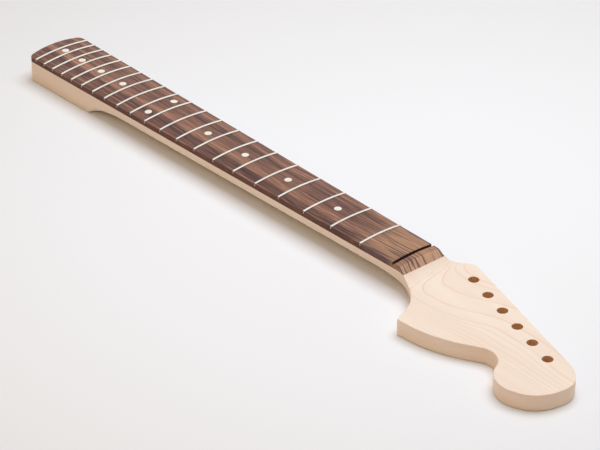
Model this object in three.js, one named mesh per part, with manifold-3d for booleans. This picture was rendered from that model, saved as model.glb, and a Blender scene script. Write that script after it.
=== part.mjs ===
// Bolt-on neck for an electric guitar: a one-piece maple shaft and headstock, a rosewood
// fingerboard with frets and inlaid position dots, and a truss rod adjusted at the heel.
// Millimetres. X runs from the heel to the headstock tip, Y towards the bass side and Z out
// of the fingerboard. The origin is on the heel's back, in the middle of the four neck
// screws, and the neck lies on the plane Z = 0.

import * as THREE from 'three';
import { mergeVertices } from 'three/addons/utils/BufferGeometryUtils.js';
import Module from 'manifold-3d';

const wasm = await Module();
wasm.setup();

// Scale length, frets and board
const scaleLength = 647.7;
const fretCount = 21;
const semitonesPerOctave = 12;
const boardOverhang = 12.5;
const nutWidth = 42.5;
const lastFretWidth = 57.3;
const boardThickness = 6.35;
const boardRadius = 184.15;

// Heel block: its end is slightly arched, with rounded corners
const heelThickness = 19.05;
const heelEndRadius = 150;
const heelCornerRadius = 5.5;
const heelBlockLength = 82;
const screwSpacingAlong = 50.8;
const screwSpacingAcross = 38.1;
const screwToHeelEnd = 16;
const screwHoleDiameter = 3.2;
const screwHoleDepth = 16;

// Shaft: whole depth with the board at the first and twelfth frets. Past the heel block a
// cove leads to the shaft's depth, and the block's square edges fade over a longer way.
// Towards the headstock the depth and the edges change over ways that pass the nut.
const shaftDepthFirst = 20.85;
const shaftDepthTwelfth = 22.4;
const shaftRoundness = 2.35;
const blockRoundness = 26;
const sideFlatAllowance = 0.12;
const coveLength = 18.5;
const heelEdgeFade = 45;
const headDepthStart = 26;
const headDepthEnd = 45;
const headEdgeStart = 6.5;
const headEdgeEnd = 60;

// Nut slot, and the lip and ramp in front of it
const nutSlotSetback = 0.9;
const nutSlotWidth = 3.2;
const nutSlotDepth = 3.6;
const lipLength = 5.6;
const lipRounding = 1.6;
const rampLength = 5.3;

// Headstock: the face is reached from the ramp by a hollow curve
const headLength = 203.6;
const headThickness = 14.3;
const scoopRadius = 25.4;
const bassShoulderRadius = 22;
const bassCornerRadius = 11;
const tipUpperRadius = 47;
const tipMiddleRadius = 30;
const tipLowerRadius = 30;
const lobeRadius = 27;
const lobeThroatRadius = 17;
const notchRadius = 16.5;
const bellyRadius = 108;
const hookRadius = 1;
const trebleShoulderRadius = 46;

// The headstock outline's corners before rounding, as shares of its length: distance from
// the nut, then distance from the centre line
const bassShoulderShare = 0.083;
const bassCornerShares = [0.163, 0.189];
const tipUpperShares = [0.944, -0.052];
const tipMiddleShares = [1.012, -0.128];
const tipLowerShares = [0.979, -0.29];
const lobeShares = [0.774, -0.368];
const lobeThroatShares = [0.718, -0.227];
const notchShares = [0.649, -0.186];
const bellyShares = [0.431, -0.304];
const hookShares = [0.2545, -0.315];
const trebleShoulderShare = 0.185;

// Tuner holes, in a line along the bass edge: the first and the last one's places, as the
// same shares of the headstock's length
const tunerCount = 6;
const tunerHoleDiameter = 8.9;
const firstTunerShares = [0.2456, 0.1017];
const lastTunerShares = [0.8201, -0.077];

// Fretwire
const fretCrownWidth = 2.1;
const fretCrownHeight = 1;
const fretTangWidth = 0.55;
const fretTangDepth = 1.6;
const fretEndInset = 0.05;
const fretBevelDegrees = 28;

// Position dots: which frets they lie behind, and which fret has a pair
const dottedFrets = [3, 5, 7, 9, 12, 15, 17, 19, 21];
const pairedDotFret = 12;
const dotDiameter = 6.35;
const dotThickness = 2;
const dotPairSpacing = 28.4;
const sideDotDiameter = 2;
const sideDotLength = 3;
const sideDotHeight = 2;
const sideDotPairSpacing = 7;
const sideDotInset = 0.1;

// Truss rod
const rodDiameter = 4.76;
const rodDip = 1.5;
const rodHeelHeight = 12.7;
const anchorLength = 8;
const anchorWidth = 9;
const anchorHeight = 8;
const anchorFromNut = 16;
const anchorHoleDepth = 5;
const adjusterDiameter = 9.5;
const adjusterLength = 12.7;
const adjusterHoleDepth = 9;
const adjusterRecess = 0.6;
const adjusterSlotWidth = 1.6;
const adjusterSlotDepth = 2;
const washerDiameter = 9.3;
const washerThickness = 1.6;

// Clearance between pieces that fit in one another, and how far a cut runs past a surface
const seatGap = 0.3;
const overrun = 2;

// Numbers of facets
const cornerSteps = 8;
const backSteps = 28;
const crownSteps = 16;
const coveSteps = 6;
const fadeSteps = 4;
const headBackSteps = 14;
const roundingSteps = 3;
const scoopSteps = 8;
const fretArcSteps = 10;
const crownArcSteps = 6;
const holeSides = 20;
const smallHoleSides = 12;
const rodSides = 12;
const rodSteps = 14;

// Places that follow from the sizes
const fretDistance = (fret) => scaleLength * (1 - 2 ** (-fret / semitonesPerOctave));
const heelEndX = -(screwToHeelEnd + screwSpacingAlong / 2);
const nutX = heelEndX + boardOverhang + fretDistance(fretCount);
const lastFretX = nutX - fretDistance(fretCount);
const fretX = (fret) => nutX - fretDistance(fret);
const crownZ = heelThickness + boardThickness;
const slotX = nutX + nutSlotSetback;
const lipEndX = slotX + nutSlotWidth + lipLength;
const rampEndX = lipEndX + rampLength;
const tipX = nutX + headLength;
const sideSlope = (lastFretWidth - nutWidth) / 2 / (nutX - lastFretX);
const halfWidth = (x) => nutWidth / 2 + (nutX - x) * sideSlope;
const widestHalf = headLength / 2;

const within = (share) => Math.min(Math.max(share, 0), 1);
const smooth = (share) => within(share) ** 2 * (3 - 2 * within(share));
const between = (from, to, share) => from + (to - from) * share;

// Solids for cutting and joining
function solidOf(geometry) {
  const bare = geometry.clone();
  bare.deleteAttribute('normal');
  bare.deleteAttribute('uv');
  const merged = mergeVertices(bare);
  return new wasm.Manifold(new wasm.Mesh({
    numProp: 3,
    vertProperties: new Float32Array(merged.attributes.position.array),
    triVerts: new Uint32Array(merged.index.array),
  }));
}

function geometryOf(solid) {
  const mesh = solid.getMesh();
  const geometry = new THREE.BufferGeometry();
  geometry.setAttribute('position', new THREE.BufferAttribute(mesh.vertProperties, mesh.numProp));
  geometry.setIndex(new THREE.BufferAttribute(mesh.triVerts, 1));
  geometry.computeVertexNormals();
  return geometry;
}

// A closed skin over a row of sections, each a ring of as many points, turning
// anticlockwise for someone who looks back along the row
function loft(sections) {
  const ring = sections[0].length;
  const index = [];
  for (let k = 0; k + 1 < sections.length; k += 1) {
    for (let i = 0; i < ring; i += 1) {
      const a = k * ring + i;
      const b = k * ring + ((i + 1) % ring);
      index.push(a, b, b + ring, a, b + ring, a + ring);
    }
  }
  const last = (sections.length - 1) * ring;
  for (let i = 1; i + 1 < ring; i += 1) {
    index.push(0, i + 1, i);
    index.push(last, last + i, last + i + 1);
  }
  const geometry = new THREE.BufferGeometry();
  geometry.setAttribute('position', new THREE.Float32BufferAttribute(sections.flat(2), 3));
  geometry.setIndex(index);
  return solidOf(geometry);
}

function upright(outline, lowZ, highZ) {
  const settings = { depth: highZ - lowZ, bevelEnabled: false };
  return solidOf(new THREE.ExtrudeGeometry(new THREE.Shape(outline), settings).translate(0, 0, lowZ));
}

// A profile drawn in X and Z, as thick as width across the centre line
function crosswise(profile, width) {
  const settings = { depth: width, bevelEnabled: false };
  const geometry = new THREE.ExtrudeGeometry(new THREE.Shape(profile), settings);
  return solidOf(geometry.rotateX(Math.PI / 2).translate(0, width / 2, 0));
}

function block(sizeX, sizeY, sizeZ, x, y, z) {
  return solidOf(new THREE.BoxGeometry(sizeX, sizeY, sizeZ).translate(x, y, z));
}

function verticalPin(radius, lowZ, highZ, x, y, sides) {
  const pin = new THREE.CylinderGeometry(radius, radius, highZ - lowZ, sides);
  return solidOf(pin.rotateX(Math.PI / 2).translate(x, y, (lowZ + highZ) / 2));
}

function crossPin(radius, lowY, highY, x, z, sides) {
  const pin = new THREE.CylinderGeometry(radius, radius, highY - lowY, sides);
  return solidOf(pin.translate(x, (lowY + highY) / 2, z));
}

function lengthwisePin(radius, lowX, highX, z, sides) {
  const pin = new THREE.CylinderGeometry(radius, radius, highX - lowX, sides);
  return solidOf(pin.rotateZ(Math.PI / 2).translate((lowX + highX) / 2, 0, z));
}

// A closed outline with rounded corners. Two roundings that would meet on a side share it.
function roundedOutline(corners) {
  const count = corners.length;
  const places = corners.map(({ x, y }) => new THREE.Vector2(x, y));
  const sideLength = (i) => places[i].distanceTo(places[(i + 1) % count]);
  const halfAngle = places.map((place, i) => {
    const back = places[(i + count - 1) % count].clone().sub(place);
    const on = places[(i + 1) % count].clone().sub(place);
    return back.angleTo(on) / 2;
  });
  const wanted = corners.map(({ radius }, i) => radius / Math.tan(halfAngle[i]));
  const outline = [];
  places.forEach((place, i) => {
    const before = (i + count - 1) % count;
    const after = (i + 1) % count;
    const shareBefore = sideLength(before) / (wanted[before] + wanted[i]);
    const shareAfter = sideLength(i) / (wanted[i] + wanted[after]);
    const reach = wanted[i] * Math.min(1, shareBefore, shareAfter);
    const radius = reach * Math.tan(halfAngle[i]);
    const back = places[before].clone().sub(place).normalize();
    const on = places[after].clone().sub(place).normalize();
    const middle = back.clone().add(on).normalize();
    const centre = place.clone().addScaledVector(middle, radius / Math.sin(halfAngle[i]));
    const start = place.clone().addScaledVector(back, reach).sub(centre);
    const turn = Math.PI - 2 * halfAngle[i];
    const bend = Math.sign(back.clone().negate().cross(on));
    for (let k = 0; k <= cornerSteps; k += 1) {
      const spoke = start.clone().rotateAround(new THREE.Vector2(), bend * turn * k / cornerSteps);
      outline.push(spoke.add(centre));
    }
  });
  return outline;
}

// The neck seen from the front, anticlockwise from the treble corner of the heel
function neckOutline() {
  const endAngle = Math.asin((halfWidth(heelEndX) - heelCornerRadius) / heelEndRadius);
  const noseX = heelEndX - heelEndRadius * (1 / Math.cos(endAngle) - 1);
  const heelCornerX = noseX + halfWidth(heelEndX) * Math.tan(endAngle);
  const head = ([along, across], radius) => (
    { x: nutX + headLength * along, y: headLength * across, radius }
  );
  const onSide = (alongShare, side, radius) => {
    const x = nutX + headLength * alongShare;
    return { x, y: side * halfWidth(x), radius };
  };
  return roundedOutline([
    { x: heelCornerX, y: -halfWidth(heelCornerX), radius: heelCornerRadius },
    onSide(trebleShoulderShare, -1, trebleShoulderRadius),
    head(hookShares, hookRadius),
    head(bellyShares, bellyRadius),
    head(notchShares, notchRadius),
    head(lobeThroatShares, lobeThroatRadius),
    head(lobeShares, lobeRadius),
    head(tipLowerShares, tipLowerRadius),
    head(tipMiddleShares, tipMiddleRadius),
    head(tipUpperShares, tipUpperRadius),
    head(bassCornerShares, bassCornerRadius),
    onSide(bassShoulderShare, 1, bassShoulderRadius),
    { x: heelCornerX, y: halfWidth(heelCornerX), radius: heelCornerRadius },
    { x: noseX, y: 0, radius: heelEndRadius },
  ]);
}

// How far an outline's nearest edge lies from the centre line, at a place along the neck
function edgeAt(outline, x, side) {
  let nearest = widestHalf;
  outline.forEach((point, i) => {
    const next = outline[(i + 1) % outline.length];
    if ((point.x > x) === (next.x > x)) return;
    const y = side * between(point.y, next.y, (x - point.x) / (next.x - point.x));
    if (y > 0) nearest = Math.min(nearest, y);
  });
  return nearest;
}

// The shaft's rounded back, swelling into the square heel and the flat headstock, as a ring
// from the treble edge to the bass edge
function backSection(x, outline) {
  const fromNut = nutX - x;
  const depthSlope = (shaftDepthTwelfth - shaftDepthFirst) / (fretDistance(12) - fretDistance(1));
  const shaftDepth = shaftDepthFirst + depthSlope * (fromNut - fretDistance(1)) - boardThickness;
  const pastBlock = x - heelEndX - heelBlockLength;
  const coveShare = within(1 - pastBlock / coveLength) ** 2;
  const heelEdgeShare = within(1 - pastBlock / heelEdgeFade) ** 2;
  const headDepthShare = smooth((headDepthStart - fromNut) / (headDepthStart + headDepthEnd));
  const headEdgeShare = smooth((headEdgeStart - fromNut) / (headEdgeStart + headEdgeEnd));
  const squareness = Math.max(heelEdgeShare, headEdgeShare);
  const depthShare = Math.max(coveShare, headDepthShare);
  const depth = between(shaftDepth, heelThickness + overrun, depthShare);
  const power = 2 * between(1 / shaftRoundness, 1 / blockRoundness, squareness);
  const spare = sideFlatAllowance + overrun * squareness ** 4;
  const ring = [];
  for (let i = 0; i <= backSteps; i += 1) {
    const angle = Math.PI * i / backSteps;
    const side = Math.sign(2 * i - backSteps);
    const across = side === 0 ? 0 : Math.abs(Math.cos(angle)) ** power;
    const down = i === 0 || i === backSteps ? 0 : Math.sin(angle) ** power;
    const edge = x < nutX ? halfWidth(x) : edgeAt(outline, x, side);
    ring.push([x, side * (edge + spare) * across, heelThickness - depth * down]);
  }
  return ring;
}

function backBody(outline) {
  const placesAfter = (from, to, steps) => (
    Array.from({ length: steps }, (_, i) => between(from, to, (i + 1) / steps))
  );
  const blockEndX = heelEndX + heelBlockLength;
  const coveEndX = blockEndX + coveLength;
  const headStartX = nutX - headDepthStart;
  const places = [
    heelEndX - overrun,
    blockEndX,
    ...placesAfter(blockEndX, coveEndX, coveSteps),
    ...placesAfter(coveEndX, blockEndX + heelEdgeFade, fadeSteps),
    headStartX,
    ...placesAfter(headStartX, nutX + headEdgeEnd, headBackSteps),
    tipX + overrun,
  ];
  return loft(places.map((x) => backSection(x, outline)));
}

// The space over the headstock's face: a hollow curve from the ramp, then flat
function scoop() {
  const drop = heelThickness - headThickness;
  const endAngle = Math.acos(1 - drop / scoopRadius);
  const centreX = rampEndX + scoopRadius * Math.sin(endAngle);
  const profile = [new THREE.Vector2(rampEndX, heelThickness + overrun)];
  for (let i = 0; i <= scoopSteps; i += 1) {
    const angle = endAngle * (1 - i / scoopSteps);
    const x = centreX - scoopRadius * Math.sin(angle);
    profile.push(new THREE.Vector2(x, headThickness + scoopRadius * (1 - Math.cos(angle))));
  }
  profile.push(new THREE.Vector2(tipX + overrun, headThickness));
  profile.push(new THREE.Vector2(tipX + overrun, heelThickness + overrun));
  return crosswise(profile, 2 * widestHalf);
}

// The board's upper surface: a cylinder, then the ramp down to the maple
function crownSection(x, heightShare) {
  const half = lastFretWidth / 2 + overrun;
  const ring = [[x, -half, heelThickness - overrun], [x, half, heelThickness - overrun]];
  for (let i = 0; i <= crownSteps; i += 1) {
    const y = half * (1 - 2 * i / crownSteps);
    const crown = boardThickness - boardRadius + Math.sqrt(boardRadius ** 2 - y ** 2);
    ring.push([x, y, heelThickness + crown * heightShare]);
  }
  return ring;
}

function crownBody() {
  const sections = [crownSection(heelEndX - overrun, 1)];
  for (let i = 0; i <= roundingSteps; i += 1) {
    const t = i / roundingSteps;
    const fall = lipRounding / rampLength * t ** 2;
    sections.push(crownSection(lipEndX + lipRounding * (2 * t - 1), 1 - fall));
  }
  const pastEnd = overrun / 4;
  sections.push(crownSection(rampEndX + pastEnd, -pastEnd / rampLength));
  return loft(sections);
}

// A section of [along X, out of the board] points, carried along the board's curve from the
// bass edge to the treble edge and past both by the overrun
function acrossBoard(section, x) {
  const centreZ = crownZ - boardRadius;
  const endAngle = Math.asin((halfWidth(x) + overrun) / boardRadius);
  const sections = [];
  for (let i = 0; i <= fretArcSteps; i += 1) {
    const angle = endAngle * (1 - 2 * i / fretArcSteps);
    sections.push(section.map(([along, out]) => {
      const radius = boardRadius + out;
      return [x + along, radius * Math.sin(angle), centreZ + radius * Math.cos(angle)];
    }));
  }
  return loft(sections);
}

// What a fret's ends are dressed to: upright in the board's side, bevelled above its face
function fretEnds(x) {
  const half = halfWidth(x) - fretEndInset;
  const edgeZ = crownZ - boardRadius + Math.sqrt(boardRadius ** 2 - half ** 2);
  const rise = crownZ + fretCrownHeight + overrun - edgeZ;
  const run = rise * Math.tan(THREE.MathUtils.degToRad(fretBevelDegrees));
  const profile = [
    new THREE.Vector2(heelThickness, -half),
    new THREE.Vector2(edgeZ, -half),
    new THREE.Vector2(edgeZ + rise, run - half),
    new THREE.Vector2(edgeZ + rise, half - run),
    new THREE.Vector2(edgeZ, half),
    new THREE.Vector2(heelThickness, half),
  ];
  const length = fretCrownWidth + overrun;
  const settings = { depth: length, bevelEnabled: false };
  const ends = new THREE.ExtrudeGeometry(new THREE.Shape(profile), settings);
  return solidOf(ends.rotateY(-Math.PI / 2).translate(x + length / 2, 0, 0));
}

function fretSolid(fret) {
  const section = [
    [-fretTangWidth / 2, -fretTangDepth],
    [fretTangWidth / 2, -fretTangDepth],
    [fretTangWidth / 2, seatGap],
  ];
  for (let i = 0; i <= crownArcSteps; i += 1) {
    const angle = Math.PI * i / crownArcSteps;
    const rise = (fretCrownHeight - seatGap) * Math.sin(angle);
    section.push([fretCrownWidth / 2 * Math.cos(angle), seatGap + rise]);
  }
  section.push([-fretTangWidth / 2, seatGap]);
  const x = fretX(fret);
  return acrossBoard(section, x).intersect(fretEnds(x));
}

function fretSlot(fret) {
  const half = fretTangWidth / 2 + seatGap;
  const low = -fretTangDepth - seatGap;
  const section = [[-half, low], [half, low], [half, overrun], [-half, overrun]];
  return acrossBoard(section, fretX(fret));
}

// Position dots: each has a name ending, a place along the neck and a place across it
function dotPlaces(pairSpacingAcross, pairSpacingAlong) {
  return dottedFrets.flatMap((fret) => {
    const x = (fretX(fret) + fretX(fret - 1)) / 2;
    const label = String(fret).padStart(2, '0');
    if (fret !== pairedDotFret) return [{ label, x, y: 0 }];
    const [dx, dy] = [pairSpacingAlong / 2, pairSpacingAcross / 2];
    return [{ label: `${label}_a`, x: x - dx, y: dy }, { label: `${label}_b`, x: x + dx, y: -dy }];
  });
}

const faceDots = dotPlaces(dotPairSpacing, 0);
const sideDots = dotPlaces(0, sideDotPairSpacing);
const dotBottomZ = crownZ - dotThickness;
const sideDotZ = heelThickness + sideDotHeight;

function faceDotSolid({ x, y }, crown) {
  const lowZ = dotBottomZ - (y === 0 ? 0 : boardRadius - Math.sqrt(boardRadius ** 2 - y ** 2));
  return verticalPin(dotDiameter / 2, lowZ, crownZ + overrun, x, y, holeSides).intersect(crown);
}

function faceDotPocket({ x, y }) {
  const lowZ = dotBottomZ - (y === 0 ? 0 : boardRadius - Math.sqrt(boardRadius ** 2 - y ** 2));
  return verticalPin(dotDiameter / 2 + seatGap, lowZ - seatGap, crownZ + overrun, x, y, holeSides);
}

function sideDotSolid({ x }) {
  const outerY = halfWidth(x) - sideDotInset;
  return crossPin(sideDotDiameter / 2, outerY - sideDotLength, outerY, x, sideDotZ, smallHoleSides);
}

function sideDotPocket({ x }) {
  const innerY = halfWidth(x) - sideDotInset - sideDotLength - seatGap;
  const outerY = halfWidth(x) + overrun;
  return crossPin(sideDotDiameter / 2 + seatGap, innerY, outerY, x, sideDotZ, smallHoleSides);
}

// Truss rod: its line dips under the middle of the neck and leaves the heel level
const adjusterInnerX = heelEndX + adjusterRecess + adjusterLength;
const washerX = adjusterInnerX + seatGap;
const shoulderX = washerX + washerThickness;
const anchorX = nutX - anchorFromNut;
const anchorZ = heelThickness - seatGap - anchorHeight / 2;
const rodRadius = rodDiameter / 2;
const rodHeelX = adjusterInnerX - adjusterHoleDepth + seatGap;
const rodHeadX = anchorX - anchorLength / 2 + anchorHoleDepth - seatGap;

function rodLine() {
  const third = (rodHeadX - rodHeelX) / 3;
  return new THREE.CubicBezierCurve3(
    new THREE.Vector3(rodHeelX, 0, rodHeelHeight),
    new THREE.Vector3(rodHeelX + third, 0, rodHeelHeight),
    new THREE.Vector3(rodHeadX - third, 0, rodHeelHeight - rodDip),
    new THREE.Vector3(rodHeadX, 0, anchorZ),
  );
}

function rodSolid() {
  const section = new THREE.Shape();
  section.absarc(0, 0, rodRadius, 0, 2 * Math.PI);
  const settings = { steps: rodSteps, curveSegments: rodSides, extrudePath: rodLine() };
  return solidOf(new THREE.ExtrudeGeometry(section, settings));
}

// The part of the rod's line between two places, offset up or down
function besideRod(lowX, highX, offset) {
  const onRod = rodLine().getPoints(rodSteps);
  const inner = onRod.filter(({ x }) => x > lowX && x < highX);
  const profile = inner.map(({ x, z }) => new THREE.Vector2(x, z + offset));
  profile.unshift(new THREE.Vector2(lowX, heightOn(onRod, lowX) + offset));
  profile.push(new THREE.Vector2(highX, heightOn(onRod, highX) + offset));
  return profile;
}

function heightOn(points, x) {
  const next = Math.min(Math.max(points.findIndex((point) => point.x > x), 1), points.length - 1);
  const [a, b] = [points[next - 1], points[next]];
  return between(a.z, b.z, (x - a.x) / (b.x - a.x));
}

const anchorPocketX = anchorX - anchorLength / 2 - seatGap;

function rodChannel() {
  const profile = besideRod(shoulderX - overrun, anchorPocketX + overrun, -rodRadius - seatGap);
  profile.push(new THREE.Vector2(anchorPocketX + overrun, heelThickness + overrun));
  profile.push(new THREE.Vector2(shoulderX, heelThickness + overrun));
  profile.push(new THREE.Vector2(shoulderX, rodHeelHeight));
  profile.push(new THREE.Vector2(shoulderX - overrun, rodHeelHeight));
  return crosswise(profile, rodDiameter + 2 * seatGap);
}

function fillerSolid() {
  const profile = besideRod(shoulderX + seatGap, anchorPocketX, rodRadius + seatGap);
  profile.push(new THREE.Vector2(anchorPocketX, heelThickness));
  profile.push(new THREE.Vector2(shoulderX + seatGap, heelThickness));
  return crosswise(profile, rodDiameter);
}

function anchorSolid() {
  const hole = lengthwisePin(rodRadius + seatGap, anchorX - anchorLength / 2 - overrun,
    anchorX - anchorLength / 2 + anchorHoleDepth, anchorZ, rodSides);
  return block(anchorLength, anchorWidth, anchorHeight, anchorX, 0, anchorZ).subtract(hole);
}

function anchorPocket() {
  const lowZ = anchorZ - anchorHeight / 2 - seatGap;
  const highZ = heelThickness + overrun;
  return block(anchorLength + 2 * seatGap, anchorWidth + 2 * seatGap, highZ - lowZ,
    anchorX, 0, (lowZ + highZ) / 2);
}

function adjusterSolid() {
  const outerX = heelEndX + adjusterRecess;
  const body = lengthwisePin(adjusterDiameter / 2, outerX, adjusterInnerX, rodHeelHeight, holeSides);
  const hole = lengthwisePin(rodRadius + seatGap, adjusterInnerX - adjusterHoleDepth,
    adjusterInnerX + overrun, rodHeelHeight, rodSides);
  const slot = block(2 * adjusterSlotDepth, adjusterSlotWidth, adjusterDiameter + overrun,
    outerX, 0, rodHeelHeight);
  const crossSlot = block(2 * adjusterSlotDepth, adjusterDiameter + overrun, adjusterSlotWidth,
    outerX, 0, rodHeelHeight);
  return body.subtract(hole).subtract(slot).subtract(crossSlot);
}

function washerSolid() {
  const hole = lengthwisePin(rodRadius + seatGap, washerX - overrun, shoulderX + overrun,
    rodHeelHeight, rodSides);
  return lengthwisePin(washerDiameter / 2, washerX, shoulderX, rodHeelHeight, holeSides).subtract(hole);
}

function adjusterBore() {
  return lengthwisePin(adjusterDiameter / 2 + seatGap, heelEndX - overrun, shoulderX,
    rodHeelHeight, holeSides);
}

function tunerHole(number) {
  const share = number / (tunerCount - 1);
  const along = headLength * between(firstTunerShares[0], lastTunerShares[0], share);
  const across = headLength * between(firstTunerShares[1], lastTunerShares[1], share);
  return verticalPin(tunerHoleDiameter / 2, -overrun, headThickness + overrun,
    nutX + along, across, holeSides);
}

function screwHole(alongSide, acrossSide) {
  const x = alongSide * screwSpacingAlong / 2;
  const y = acrossSide * screwSpacingAcross / 2;
  return verticalPin(screwHoleDiameter / 2, -overrun, screwHoleDepth, x, y, smallHoleSides);
}

function neckSolid(outline) {
  let solid = upright(outline, 0, heelThickness).intersect(backBody(outline)).subtract(scoop());
  solid = solid.subtract(rodChannel()).subtract(anchorPocket()).subtract(adjusterBore());
  for (const alongSide of [-1, 1]) {
    for (const acrossSide of [-1, 1]) solid = solid.subtract(screwHole(alongSide, acrossSide));
  }
  for (let number = 0; number < tunerCount; number += 1) solid = solid.subtract(tunerHole(number));
  return solid;
}

function boardSolid(outline, crown) {
  let solid = upright(outline, heelThickness, crownZ + overrun).intersect(crown);
  const slotHeight = nutSlotDepth + overrun;
  solid = solid.subtract(block(nutSlotWidth, 2 * widestHalf, slotHeight,
    slotX + nutSlotWidth / 2, 0, crownZ - nutSlotDepth + slotHeight / 2));
  for (let fret = 1; fret <= fretCount; fret += 1) solid = solid.subtract(fretSlot(fret));
  for (const place of faceDots) solid = solid.subtract(faceDotPocket(place));
  for (const place of sideDots) solid = solid.subtract(sideDotPocket(place));
  return solid;
}

// Materials
const maple = () => new THREE.MeshStandardMaterial({ color: 0xf0dcc4, roughness: 0.6, metalness: 0 });
const rosewood = () => new THREE.MeshStandardMaterial({ color: 0x6b4a3f, roughness: 0.7, metalness: 0 });
const nickelSilver = () => new THREE.MeshStandardMaterial({ color: 0xd8d6d0, roughness: 0.3, metalness: 1 });
const ivory = () => new THREE.MeshStandardMaterial({ color: 0xe6e2cc, roughness: 0.4, metalness: 0 });
const steel = () => new THREE.MeshStandardMaterial({ color: 0x8a8a8a, roughness: 0.4, metalness: 1 });

const guitarNeck = new THREE.Group();

function addPiece(name, solid, material) {
  const piece = new THREE.Mesh(geometryOf(solid), material);
  piece.name = name;
  guitarNeck.add(piece);
}

const outline = neckOutline();
const crown = crownBody();
addPiece('neck', neckSolid(outline), maple());
addPiece('fingerboard', boardSolid(outline, crown), rosewood());
for (let fret = 1; fret <= fretCount; fret += 1) {
  addPiece(`fret_${String(fret).padStart(2, '0')}`, fretSolid(fret), nickelSilver());
}
for (const place of faceDots) addPiece(`dot_${place.label}`, faceDotSolid(place, crown), ivory());
for (const place of sideDots) addPiece(`side_dot_${place.label}`, sideDotSolid(place), ivory());
addPiece('truss_rod', rodSolid(), steel());
addPiece('truss_rod_anchor', anchorSolid(), steel());
addPiece('truss_rod_washer', washerSolid(), steel());
addPiece('truss_rod_nut', adjusterSolid(), steel());
addPiece('truss_rod_filler', fillerSolid(), maple());

export default guitarNeck;
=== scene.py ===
import math

import bmesh
import bpy
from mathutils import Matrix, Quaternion, Vector


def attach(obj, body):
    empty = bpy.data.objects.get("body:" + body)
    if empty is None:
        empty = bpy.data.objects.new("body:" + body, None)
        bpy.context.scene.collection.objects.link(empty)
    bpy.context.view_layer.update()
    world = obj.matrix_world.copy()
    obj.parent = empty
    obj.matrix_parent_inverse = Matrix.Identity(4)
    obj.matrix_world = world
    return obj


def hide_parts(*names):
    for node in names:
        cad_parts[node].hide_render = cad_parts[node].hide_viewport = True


# A bolt-on electric guitar neck: maple shaft and headstock, rosewood board, nickel-silver
# frets and ivory dots. Shapes are worked out in millimetres, in the same places as in the
# CAD model, and become metres when a piece is made.

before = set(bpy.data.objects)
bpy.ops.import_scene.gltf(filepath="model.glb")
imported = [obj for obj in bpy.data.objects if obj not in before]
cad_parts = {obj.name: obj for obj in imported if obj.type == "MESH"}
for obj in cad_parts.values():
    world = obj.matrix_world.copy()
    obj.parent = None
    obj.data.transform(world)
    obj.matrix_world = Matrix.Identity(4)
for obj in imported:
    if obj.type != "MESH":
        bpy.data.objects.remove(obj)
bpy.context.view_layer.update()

MM = 0.001

# Scale length, frets and board
SCALE_LENGTH = 647.7
FRET_COUNT = 21
BOARD_OVERHANG = 12.5
NUT_WIDTH = 42.5
LAST_FRET_WIDTH = 57.3
BOARD_THICKNESS = 6.35
BOARD_RADIUS = 184.15
BOARD_EDGE_EASING = 0.45
GLUE_EDGE_EASING = 0.03

# Heel block
HEEL_THICKNESS = 19.05
HEEL_END_RADIUS = 150
HEEL_CORNER_RADIUS = 5.5
HEEL_BLOCK_LENGTH = 82
SCREW_SPACING_ALONG = 50.8
SCREW_SPACING_ACROSS = 38.1
SCREW_TO_HEEL_END = 16
SCREW_HOLE_DIAMETER = 3.2
SCREW_HOLE_DEPTH = 16

# Shaft
SHAFT_DEPTH_FIRST = 20.85
SHAFT_DEPTH_TWELFTH = 22.4
SHAFT_ROUNDNESS = 2.35
BLOCK_ROUNDNESS = 26
SIDE_FLAT_ALLOWANCE = 0.12
COVE_LENGTH = 18.5
HEEL_EDGE_FADE = 45
HEAD_DEPTH_START = 26
HEAD_DEPTH_END = 45
HEAD_EDGE_START = 6.5
HEAD_EDGE_END = 60

# Nut slot, lip and ramp
NUT_SLOT_SETBACK = 0.9
NUT_SLOT_WIDTH = 3.2
NUT_SLOT_DEPTH = 3.6
LIP_LENGTH = 5.6
LIP_ROUNDING = 1.6
RAMP_LENGTH = 5.3

# Headstock
HEAD_LENGTH = 203.6
HEAD_THICKNESS = 14.3
SCOOP_RADIUS = 25.4
HEAD_EDGE_EASING = 0.5
HEAD_EASING_RUN_IN = 6
BACK_EDGE_EASING = 1.1
TUNER_COUNT = 6
TUNER_HOLE_DIAMETER = 8.9
FIRST_TUNER = (0.2456, 0.1017)
LAST_TUNER = (0.8201, -0.077)
HOLE_RIM_EASING = 0.3

# The headstock outline's corners before rounding: distance from the nut and from the centre
# line as shares of the head's length, and the rounding's radius
HEAD_CORNERS = [
    (0.2545, -0.315, 1),
    (0.431, -0.304, 108),
    (0.649, -0.186, 16.5),
    (0.718, -0.227, 17),
    (0.774, -0.368, 27),
    (0.979, -0.29, 30),
    (1.0119, -0.128, 30),
    (0.944, -0.052, 47),
    (0.163, 0.189, 11),
]
TREBLE_SHOULDER = (0.185, 46)
BASS_SHOULDER = (0.083, 22)

# Fretwire
FRET_WIDTH = 2.1
FRET_HEIGHT = 1.0
FRET_FOOT = 0.12
FRET_LIFT = 0.02
FRET_FULLNESS = 0.7
TANG_WIDTH = 0.55
TANG_DEPTH = 1.6
FRET_END_INSET = 0.05
FRET_BEVEL = math.radians(28)
FRET_END_BREAK = 0.14
FRET_END_SIZE = (0.8, 0.84)

# Position dots
DOTTED_FRETS = (3, 5, 7, 9, 12, 15, 17, 19, 21)
PAIRED_DOT_FRET = 12
DOT_RADIUS = 3.175
DOT_THICKNESS = 2
DOT_PAIR_SPACING = 28.4
SIDE_DOT_RADIUS = 1
SIDE_DOT_LENGTH = 3
SIDE_DOT_HEIGHT = 2
SIDE_DOT_PAIR_SPACING = 7

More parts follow.
